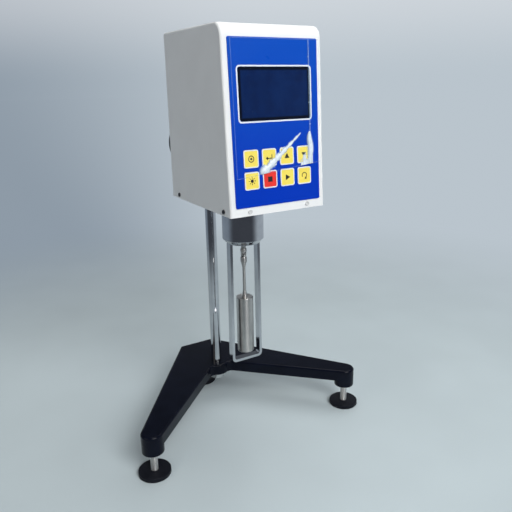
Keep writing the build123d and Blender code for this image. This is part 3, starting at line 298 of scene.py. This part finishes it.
panelBlue, windowDark, boardGreen = panelPrint(), screenPrint(), boardPrint()
levelLiquid, transformerSteel = liquidPrint(), laminated()
keyYellow = keyPrint("keyYellow", (0.94, 0.78, 0.14), (0.91, 0.73, 0.12))
keyRed = keyPrint("keyRed", (0.84, 0.045, 0.035), (0.78, 0.037, 0.030))
bubbleClear = inkPrint("bubbleClear", (0.72, 0.86, 0.22), (0.66, 0.80, 0.18))
whiteInk = inkPrint("whiteInk", (0.84, 0.87, 0.90), (0.79, 0.83, 0.87))
blackInk = inkPrint("blackInk", (0.012, 0.012, 0.014), (0.02, 0.02, 0.022))
coverScrews, zincThread = coverScrewFinish(), threaded()

finishOf = {
    enamel: ["base_casting"],
    chrome: ["column", "column_cap", "cup_skirt", "guard_frame"],
    steel: ["column_nut", "carriage_screws", "pinion_shaft", "inlet_pins", "inlet_screws", "spindle_shaft",
            "spindle_disc", "pillars", "drive_shaft", "lower_bearing", "serial_port", "joint_cross",
            "display_module"],
    turnedSteel: ["rotor", "upper_yoke", "lower_yoke"],
    footBlack: ["foot_pad_left", "foot_pad_right", "foot_pad_rear"],
    carriageGrey: ["lift_carriage"],
    bronze: ["pinion_bushes", "hairspring", "lock_pad"],
    knobBlack: ["lift_knob", "lock_knob"],
    headWhite: ["head_cover"],
    chassisMetal: ["chassis_plate", "back_plate", "motor_bridge", "bearing_housing", "level_housing"],
    coverScrews: ["cover_screws"],
    zincThread: ["foot_screw_left", "foot_screw_right", "foot_screw_rear"],
    panelBlue: ["front_panel"],
    windowDark: ["display_window", "display_glass"],
    boardGreen: ["keypad_board", "main_board"],
    levelLiquid: ["level_vial"],
    socketBlack: ["mains_inlet", "switch_frame", "power_rocker", "optical_sensors"],
    transformerSteel: ["transformer"],
    motorBlack: ["motor"],
    keyYellow: ["key_mode", "key_enter", "key_up", "key_down", "key_light", "key_run", "key_scan"],
    keyRed: ["key_stop"],
}
for material, names in finishOf.items():
    for name in names:
        nodes[name].data.materials.clear()
        nodes[name].data.materials.append(material)
missed = sorted(set(nodes) - {name for names in finishOf.values() for name in names})
print("finishes:", len(finishOf), "materials, nodes without one:", missed)


# puts points and faces into a mesh, gives it its material, body and slot
def piece(name, points, faces, material, body, smooth=True):
    mesh = bpy.data.meshes.new(name)
    mesh.from_pydata(np.asarray(points).tolist(), [], [list(f) for f in faces])
    mesh.validate()
    mesh.update()
    mesh.polygons.foreach_set("use_smooth", np.full(len(mesh.polygons), smooth))
    mesh.materials.append(material)
    made = bpy.data.objects.new(name, mesh)
    bpy.context.scene.collection.objects.link(made)
    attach(made, body)
    return made


# faces of a grid of rows by columns; a wrapped grid closes on itself along that way
def gridFaces(rows, columns, wrapRows=False, wrapColumns=False):
    r = np.arange(rows if wrapRows else rows - 1)[:, None]
    c = np.arange(columns if wrapColumns else columns - 1)[None, :]
    r2, c2 = (r + 1) % rows, (c + 1) % columns
    corners = [r * columns + c, r * columns + c2, r2 * columns + c2, r2 * columns + c]
    return np.stack([np.broadcast_to(k, (r.size, c.size)) for k in corners], -1).reshape(-1, 4)


# closed rounded rectangle: four quarter circles about the corner centres, joined by straight sides
def roundedLoop(halfWide, halfTall, corner, steps=10):
    turn = (np.arange(4)[:, None] + np.linspace(0, 1, steps)[None, :]) * pi / 2
    signX, signY = np.array([1, -1, -1, 1])[:, None], np.array([1, 1, -1, -1])[:, None]
    across = signX * (halfWide - corner) + corner * np.cos(turn)
    up = signY * (halfTall - corner) + corner * np.sin(turn)
    return np.stack([across.ravel(), up.ravel()], -1)


# points in metres on the leaning front: its foot, plus each of across, up and out along its own direction
def onSlope(across, up, out):
    across, up, out = (part[..., None] for part in np.broadcast_arrays(across, up, out))
    return slopeFoot + across * np.array([1, 0, 0]) + up * slopeUp + out * slopeOut


# flat ring with turned-down edges: a rounded loop shrinks from the outer size to the inner one by each share,
# and its height over the front is the one beside that share
def frameRing(name, centre, outer, inner, corner, lift, material, body):
    share = np.array([0.0, 0.0, 0.12, 0.88, 1.0, 1.0])
    height = np.array([-0.45, -0.02, 0.03, 0.03, -0.02, -0.08]) * mm
    innerCorner = corner * 0.62
    loops = np.array([roundedLoop(outer[0] + (inner[0] - outer[0]) * s, outer[1] + (inner[1] - outer[1]) * s,
                                  corner + (innerCorner - corner) * s) for s in share])
    points = onSlope(loops[..., 0] + centre[0], loops[..., 1] + centre[1], (lift + height)[:, None])
    faces = gridFaces(len(share), loops.shape[1], wrapColumns=True)
    piece(name, points.reshape(-1, 3), faces, material, body, smooth=False)


# outlines one after another in one array of points, with one face for each of them
def outlineFaces(outlines):
    ends = np.cumsum([0] + [len(outline) for outline in outlines])
    return np.concatenate(outlines), [range(first, last) for first, last in zip(ends, ends[1:])]


# thin flat print on the leaning front: the outlines, in millimetres, lie at a height just above it
def flatPrint(name, centre, outlines, lift, material, body):
    flat, faces = outlineFaces(outlines)
    flat = flat * mm + np.array(centre)
    piece(name, onSlope(flat[:, 0], flat[:, 1], lift), faces, material, body, smooth=False)


# part of a circle as points, anticlockwise: the radius times the cosine and sine of even steps of the angle;
# a whole turn leaves out its last point
def arc(radius, start=0, end=360, steps=32):
    turn = np.radians(np.linspace(start, end, steps, endpoint=(end - start) % 360 != 0))
    return radius * np.stack([np.cos(turn), np.sin(turn)], -1)


# band between two radii, cut into quads so that it stays flat: each joins one step of the two circles
def band(outer, inner, start, end, steps=24):
    turn = np.radians(np.linspace(start, end, steps + 1))
    unit = np.stack([np.cos(turn), np.sin(turn)], -1)
    return list(np.stack([inner * unit[:-1], outer * unit[:-1], outer * unit[1:], inner * unit[1:]], 1))


# straight stroke: the two ends, each set off by half the width to either side
def bar(x0, y0, x1, y1, width):
    start, end = np.array([x0, y0]), np.array([x1, y1])
    side = np.array([y0 - y1, x1 - x0]) / np.hypot(*(end - start)) * width / 2
    return np.array([start - side, end - side, end + side, start + side])


window = dict(middle=107.8 * mm, outer=(39.7 * mm, 24.6 * mm), inner=(38.15 * mm, 23.15 * mm),
              corner=3.6 * mm, lift=0.8 * mm)
frameRing("windowBorder", (0, window["middle"]), window["outer"], window["inner"], window["corner"],
          window["lift"], whiteInk, "head")

# white rim and plain sign of each key, in millimetres about its middle; each rides on its own key
keys = dict(rim=1.05, corner=2.0, lap=0.04, flange=1.0, tall=16.0, top=1.3, ink=0.03)
signs = {
    "key_mode": band(3.1, 2.3, 0, 360) + [arc(1.1)],
    "key_enter": [bar(-2.6, -0.8, 3.2, -0.8, 0.8), bar(2.8, -0.8, 2.8, 2.6, 0.8),
                  [(-3.9, -0.8), (-1.7, -2.6), (-1.7, 1.0)]],
    "key_up": [[(-2.7, -2.0), (2.7, -2.0), (0, 2.8)]],
    "key_down": [[(0, -2.8), (2.7, 2.0), (-2.7, 2.0)]],
    "key_light": [arc(1.6)] + [bar(*(2.2 * ray), *(3.6 * ray), 0.6) for ray in arc(1.0, steps=8)],
    "key_stop": [[(-2.4, -2.4), (2.4, -2.4), (2.4, 2.4), (-2.4, 2.4)]],
    "key_run": [[(-2.1, -2.8), (3.0, 0), (-2.1, 2.8)]],
    "key_scan": band(3.0, 2.2, -60, 210) + [[(0.1, -3.9), (2.9, -3.1), (1.0, -1.2)]],
}
for name, outlines in signs.items():
    low, high = (np.array(corner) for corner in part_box(name))
    middle = (low + high) / 2
    centre = (middle[0], (middle - slopeFoot) @ slopeUp)
    wide = (high[0] - low[0]) / mm - 2 * keys["flange"]
    outer = tuple((side / 2 + keys["lap"]) * mm for side in (wide, keys["tall"]))
    inner = tuple(side - keys["rim"] * mm for side in outer)
    frameRing(name + "_border", centre, outer, inner, keys["corner"] * mm, keys["top"] * mm, whiteInk, name)
    flatPrint(name + "_sign", centre, outlines, (keys["top"] + keys["ink"]) * mm, blackInk, name)
print("panel: window border, and rims and signs of", len(signs), "keys")


# clear film: almost unseen, and milky white where it has lifted off the panel, a painted sheen of the light it
# catches there
def clearFilm():
    paint = Paint("clearFilm")
    # painted sheen: this share whitens the film and makes it less clear
    paintedSheen = paint.node("Attribute", dict(attribute_name="liftedSheen"), out=2)
    streaks = paint.mottle(0.0016, stretch=(1, 1, 0.35), detail=3.0)
    alpha = (paintedSheen * (0.62 + 0.55 * streaks) + 0.002).lower(0.96)
    colour = paint.tint(paintedSheen.ease(0.1, 0.8), (0.45, 0.66, 0.90), (0.80, 0.88, 0.95))
    return paint.surface(Base_Color=colour, Roughness=0.30 - 0.12 * paintedSheen, Alpha=alpha, Specular_IOR_Level=0.2)


# protective film over the upper panel, a grid between its slanting foot and its top. Its height over the panel
# is level, plus the bell curve of the distance from the fold's line, plus the square of the leaf's share.
# The painted sheen, how milky white the film is, is the largest of five shares: the fold, which narrows along
# its line and has ragged sides, the leaf, an upright ellipse whose middle sways, the torn foot, a fine crease,
# and the film's rim
def protectiveFilm():
    film = dict(left=-44.5, right=48.6, foot=39.0, slant=0.10, top=154.6, height=1.5, gauge=0.06, step=0.7,
                rows=165)
    fold = dict(start=(-15.5, 39.5), end=(25.0, 71.5), wide=(5.6, 0.9), edge=1.5, rise=1.5, bell=2.4, fall=0.6,
                ragged=((0.22, 37.0, 0.0), (0.12, 91.0, 1.0)))
    leaf = dict(across=36.2, up=57.5, wide=4.0, tall=15.5, edge=1.6, sway=(0.6, 0.25), rise=1.2)
    torn = dict(left=25.5, right=39.5, high=7.5, waves=((3.5, 0.9), (1.6, 2.3)), sheen=0.85)
    crease = dict(across=36.8, wide=0.35, above=72, sheen=0.35)
    rim = dict(wide=0.5, sheen=0.22)

    across, share = np.meshgrid(np.arange(film["left"], film["right"], film["step"]),
                                np.linspace(0, 1, film["rows"]))
    low = film["foot"] + film["slant"] * (across - 0.5 * (film["left"] + film["right"]))
    up = low + share * (film["top"] - low)

    start, way = np.array(fold["start"]), np.array(fold["end"]) - np.array(fold["start"])
    along = np.clip(((across - start[0]) * way[0] + (up - start[1]) * way[1]) / (way @ way), 0, 1)
    apart = np.hypot(across - start[0] - along * way[0], up - start[1] - along * way[1])
    foldWide = fold["wide"][0] + (fold["wide"][1] - fold["wide"][0]) * along ** 0.7
    ragged = 1 + sum(size * np.sin(along * rate + shift) for size, rate, shift in fold["ragged"])
    folded = np.clip(fold["edge"] * (1 - apart / (foldWide * ragged)), 0, 1)

    leafWide = leaf["wide"] * np.sqrt(np.clip(1 - ((up - leaf["up"]) / leaf["tall"]) ** 2, 0, 1)) + 0.01
    fromLeaf = np.abs(across - leaf["across"] - leaf["sway"][0] * np.sin(up * leaf["sway"][1]))
    leafed = np.clip(leaf["edge"] * (1 - fromLeaf / leafWide), 0, 1)

    tornHigh = torn["high"] + sum(size * np.sin(across * rate) for size, rate in torn["waves"])
    tornOff = (up - low < tornHigh) & (across > torn["left"]) & (across < torn["right"])
    creased = np.exp(-((across - crease["across"]) / crease["wide"]) ** 2) * (up > crease["above"])
    nearEdge = np.minimum.reduce([across - film["left"], film["right"] - across, up - low, film["top"] - up])
    rimmed = np.clip(1 - nearEdge / rim["wide"], 0, 1)
    # painted sheen: how milky white the film is painted at each point
    liftedSheen = np.maximum.reduce([folded, leafed, torn["sheen"] * tornOff, creased * crease["sheen"],
                                rimmed * rim["sheen"]])

    ridge = fold["rise"] * np.exp(-(apart / fold["bell"]) ** 2) * (1 - fold["fall"] * along)
    height = film["height"] + ridge + leaf["rise"] * leafed ** 2
    sheet = piece("protective_film", onSlope(across * mm, up * mm, height * mm).reshape(-1, 3),
                  gridFaces(*across.shape), clearFilm(), "head")
    sheet.data.attributes.new("liftedSheen", "FLOAT", "POINT").data.foreach_set("value", liftedSheen.ravel())
    wall = sheet.modifiers.new("gauge", "SOLIDIFY")
    wall.thickness, wall.offset = film["gauge"] * mm, 1.0
    print("film:", across.size, "points")


protectiveFilm()


# surfaces of revolution: a profile of radius and height turned about an axis, once at each centre
def turned(name, profile, centres, axis, material, body, steps=24, ring=False):
    out, side, along = (np.roll(np.eye(3), shift, axis=0)[axis] for shift in (-1, -2, 0))
    profile, centres = np.array(profile) * mm, np.array(centres) * mm
    turn = np.linspace(0, 2 * pi, steps, endpoint=False)[:, None]
    radius, height = profile[:, None, None, 0], profile[:, None, None, 1]
    one = radius * (np.cos(turn) * out + np.sin(turn) * side) + height * along
    points = centres[:, None, None, :] + one[None]
    faces = gridFaces(len(profile), steps, wrapRows=ring, wrapColumns=True)
    shift = np.arange(len(centres))[:, None, None] * len(profile) * steps
    made = piece(name, points.reshape(-1, 3), (faces[None] + shift).reshape(-1, 4), material, body)
    joined = bmesh.new()
    joined.from_mesh(made.data)
    bmesh.ops.remove_doubles(joined, verts=joined.verts, dist=1e-7)   # closes the poles
    joined.to_mesh(made.data)
    joined.free()


# the spirit level's bubble, and the ring that it is read against; profiles are radius and height
level = dict(place=(0, -62.3, 442.9), bubble=2.1, ring=(2.75, 3.05), ink=(0.01, 0.05))
turned("level_bubble", [(0, 0.0), (level["bubble"], 0.02), (level["bubble"] * 0.9, 0.12),
                        (level["bubble"] * 0.55, 0.2), (0, 0.24)],
       [level["place"]], 2, bubbleClear, "head", steps=40)
turned("level_ring", [(level["ring"][1], level["ink"][0]), (level["ring"][1], level["ink"][1]),
                      (level["ring"][0], level["ink"][1]), (level["ring"][0], level["ink"][0])],
       [level["place"]], 2, blackInk, "head", steps=48, ring=True)

# the data connector's nine pins, which stand in a row of five and a row of four
port = dict(across=36.0, wall=30.0, height=404.0, pitch=2.77, row=1.42, rows=((1, 5), (-1, 4)),
            pin=[(0, 0), (0.5, 0.0), (0.5, 2.5), (0.35, 2.85), (0, 3.0)],
            long=7.7, short=6.7, half=3.4, deep=1.4, edge=0.2, chamfer=0.96)
pinPlaces = [(port["across"] + port["row"] * way, port["wall"] + port["deep"] - 0.1,
              port["height"] + (k - (count - 1) / 2) * port["pitch"])
             for way, count in port["rows"] for k in range(count)]
turned("serial_pins", port["pin"], pinPlaces, 1, steel, "head", steps=14)


# the connector's black insert: a D-shaped outline carried out of the wall, a little smaller at its face
def serialInsert():
    outline = np.array([(port["half"], -port["long"]), (port["half"], port["long"]),
                        (-port["half"], port["short"]), (-port["half"], -port["short"])])
    depth = np.array([0.02, port["deep"] - port["edge"], port["deep"]])
    shrink = np.array([1.0, 1.0, port["chamfer"]])
    loops = outline[None] * shrink[:, None, None]
    points = np.stack([port["across"] + loops[..., 0],
                       port["wall"] + np.broadcast_to(depth[:, None], loops.shape[:2]),
                       port["height"] + loops[..., 1]], -1)
    sides = gridFaces(3, 4, wrapColumns=True)[:, ::-1].tolist()
    ends = [[0, 1, 2, 3], [11, 10, 9, 8]]
    piece("serial_insert", points.reshape(-1, 3) * mm, sides + ends, socketBlack, "head",
          smooth=False)


serialInsert()


# line or ring on one half of the rocker (way is 1 or -1): the outlines lie in the plane of that half, which is
# tilted by its own rise and by the rocker's rest position, just above it
def rockerMark(name, way, outlines):
    rocker = dict(across=16.0, pivot=29.2, middle=404.0, tilt=radians(7.0), rise=radians(15.73), along=3.55,
                  proud=2.6, lift=0.04)
    tilt, reach = rocker["tilt"], way * rocker["along"]
    halfLean = way * rocker["rise"] + tilt
    out, up = np.array([0, cos(halfLean), -sin(halfLean)]), np.array([0, sin(halfLean), cos(halfLean)])
    foot = np.array([rocker["across"], rocker["pivot"] + rocker["proud"] * cos(tilt) + reach * sin(tilt),
                     rocker["middle"] + reach * cos(tilt) - rocker["proud"] * sin(tilt)])
    flat, faces = outlineFaces(outlines)
    points = (foot + flat[:, :1] * np.array([-1, 0, 0]) + flat[:, 1:] * up + rocker["lift"] * out) * mm
    piece(name, points, faces, whiteInk, "power_switch", smooth=False)


rockerMark("rocker_line", 1, [bar(0, -1.3, 0, 1.3, 0.5)])
rockerMark("rocker_ring", -1, band(1.35, 0.95, 0, 360))
print("level, connector and rocker marks")


# pale floor and backdrop, with painted light and shade: they run to slate, a painted shade, on the side away
# from axis, to dim, a painted shade, on one side of it, and to bright, a painted light, on the other
studio = dict(
    floor=(0.54, 0.618, 0.642), cloud=0.95, dim=(0.27, 0.325, 0.385), bright=(0.49, 0.555, 0.61),
    slate=(0.070, 0.078, 0.094), overhead=(0.10, 0.11, 0.125), glow=(0.78, 0.80, 0.83), glowShare=0.45,
    axis=(0.506, 0.862), lateral=(0.862, -0.506), slateEdge=(-0.70, 0.05), dimEdge=(-0.50, 0.05),
    glowEdge=(-0.2, 0.6), glowTop=0.16, overheadFrom=0.50, floorRun=(0.32, 1.05), slateNearer=0.45, size=20.0)


# how far a direction lies along one of the studio's two level directions, from -1 to 1
def towards(direction, x, y):
    return x * studio[direction][0] + y * studio[direction][1]


# backdrop colour by direction: painted shade towards its slate and dim sides, painted light towards its bright
# side
def backdropColour(paint, x, y):
    pale = paint.tint(towards("lateral", x, y).ease(*studio["dimEdge"]), studio["dim"], studio["bright"])
    return paint.tint(towards("axis", x, y).ease(*studio["slateEdge"]), studio["slate"], pale)


# pale sheet, lit near the object, that runs out into the backdrop with distance, sooner towards its slate side;
# out there it glows with the backdrop's painted light and shade
def studioFloor():
    paint = Paint("paleFloor")
    x, y = paint.xyz()[:2]
    away = (x * x + y * y).root()
    weave = paint.mottle(0.0012, detail=3.0)
    cloud = paint.mottle(0.16, detail=2.0)
    clouded = tuple(studio["cloud"] * part for part in studio["floor"])
    colour = paint.tint(cloud.ease(0.3, 0.7), studio["floor"], clouded)
    near = paint.node("BsdfDiffuse", sockets={"Color": colour, "Normal": paint.bump(weave, 0.0003, 0.4)})
    # painted light and shade: the far floor glows in the backdrop's colour for its direction
    far = paint.node("Emission", sockets={"Color": backdropColour(paint, x / away, y / away), "Strength": 1.0})
    facing = towards("axis", x / away, y / away).ease(*studio["slateEdge"])
    run = away * (1 + studio["slateNearer"] - studio["slateNearer"] * facing)
    mixed = paint.node("MixShader", sockets={0: run.ease(*studio["floorRun"]), 1: near, 2: far})
    paint.node("OutputMaterial", sockets={"Surface": mixed})
    corners = studio["size"] * np.array([(-1, -1, 0), (1, -1, 0), (1, 1, 0), (-1, 1, 0)])
    mesh = bpy.data.meshes.new("floor")
    mesh.from_pydata(corners.tolist(), [], [(0, 1, 2, 3)])
    mesh.materials.append(paint.owner)
    floor = bpy.data.objects.new("floor", mesh)
    bpy.context.scene.collection.objects.link(floor)


# world: the backdrop with its painted light and shade at the horizon, a glow over its pale side, and a dim
# overhead
def studioWorld():
    world = bpy.data.worlds.new("studio")
    bpy.context.scene.world = world
    sky = Paint("studio", world)
    x, y, z = sky.xyz()
    paleSide = towards("axis", x, y).ease(*studio["glowEdge"])
    glowing = z.ease(0.0, studio["glowTop"]) * paleSide * studio["glowShare"]
    glow = sky.tint(glowing, backdropColour(sky, x, y), studio["glow"])
    colour = sky.tint(z.ease(studio["glowTop"], studio["overheadFrom"]), glow, studio["overhead"])
    shown = sky.node("Background", sockets={"Color": colour, "Strength": 1.0})
    sky.node("OutputWorld", sockets={"Surface": shown})


# soft square lamp at a place, aimed at the middle of the object
def softLamp(name, place, size, power, colour=(1, 1, 1), aim=(0, -0.03, 0.26)):
    lamp = bpy.data.lights.new(name, "AREA")
    lamp.shape, lamp.size, lamp.size_y, lamp.energy, lamp.color = "RECTANGLE", size, size, power, colour
    made = bpy.data.objects.new(name, lamp)
    made.matrix_world = (Matrix.Translation(place) @
                         (Vector(place) - Vector(aim)).to_track_quat("Z", "Y").to_matrix().to_4x4())
    bpy.context.scene.collection.objects.link(made)


# camera at its place, looking forward, with a slight roll about that line
def aimCamera():
    view = dict(place=(-0.27927, -0.53660, 0.39078), forward=(0.4834, 0.8233, -0.2977), roll=radians(-1.00),
                lens=38.73, sensor=36.0, clip=0.01)
    ahead = Vector(view["forward"]).normalized()
    level = ahead.cross(Vector((0, 0, 1))).normalized()
    upright = level.cross(ahead)
    right = level * cos(view["roll"]) + upright * sin(view["roll"])
    up = upright * cos(view["roll"]) - level * sin(view["roll"])
    camera = bpy.data.cameras.new("camera")
    camera.sensor_fit, camera.sensor_width, camera.lens = "HORIZONTAL", view["sensor"], view["lens"]
    camera.clip_start = view["clip"]
    made = bpy.data.objects.new("camera", camera)
    made.matrix_world = Matrix.Translation(view["place"]) @ Matrix((right, up, -ahead)).transposed().to_4x4()
    bpy.context.scene.collection.objects.link(made)
    bpy.context.scene.camera = made


studioWorld()
studioFloor()
softLamp("keyLamp", (0.02, -1.60, 1.28), 1.1, 34)
softLamp("topLamp", (0.7, 0.3, 1.9), 1.4, 14)
softLamp("fillLamp", (-1.5, -0.3, 0.9), 0.9, 3.5, colour=(1.0, 0.92, 0.82))
aimCamera()
bpy.context.scene.view_settings.view_transform = "Standard"
print("floor, world, lamps and camera")
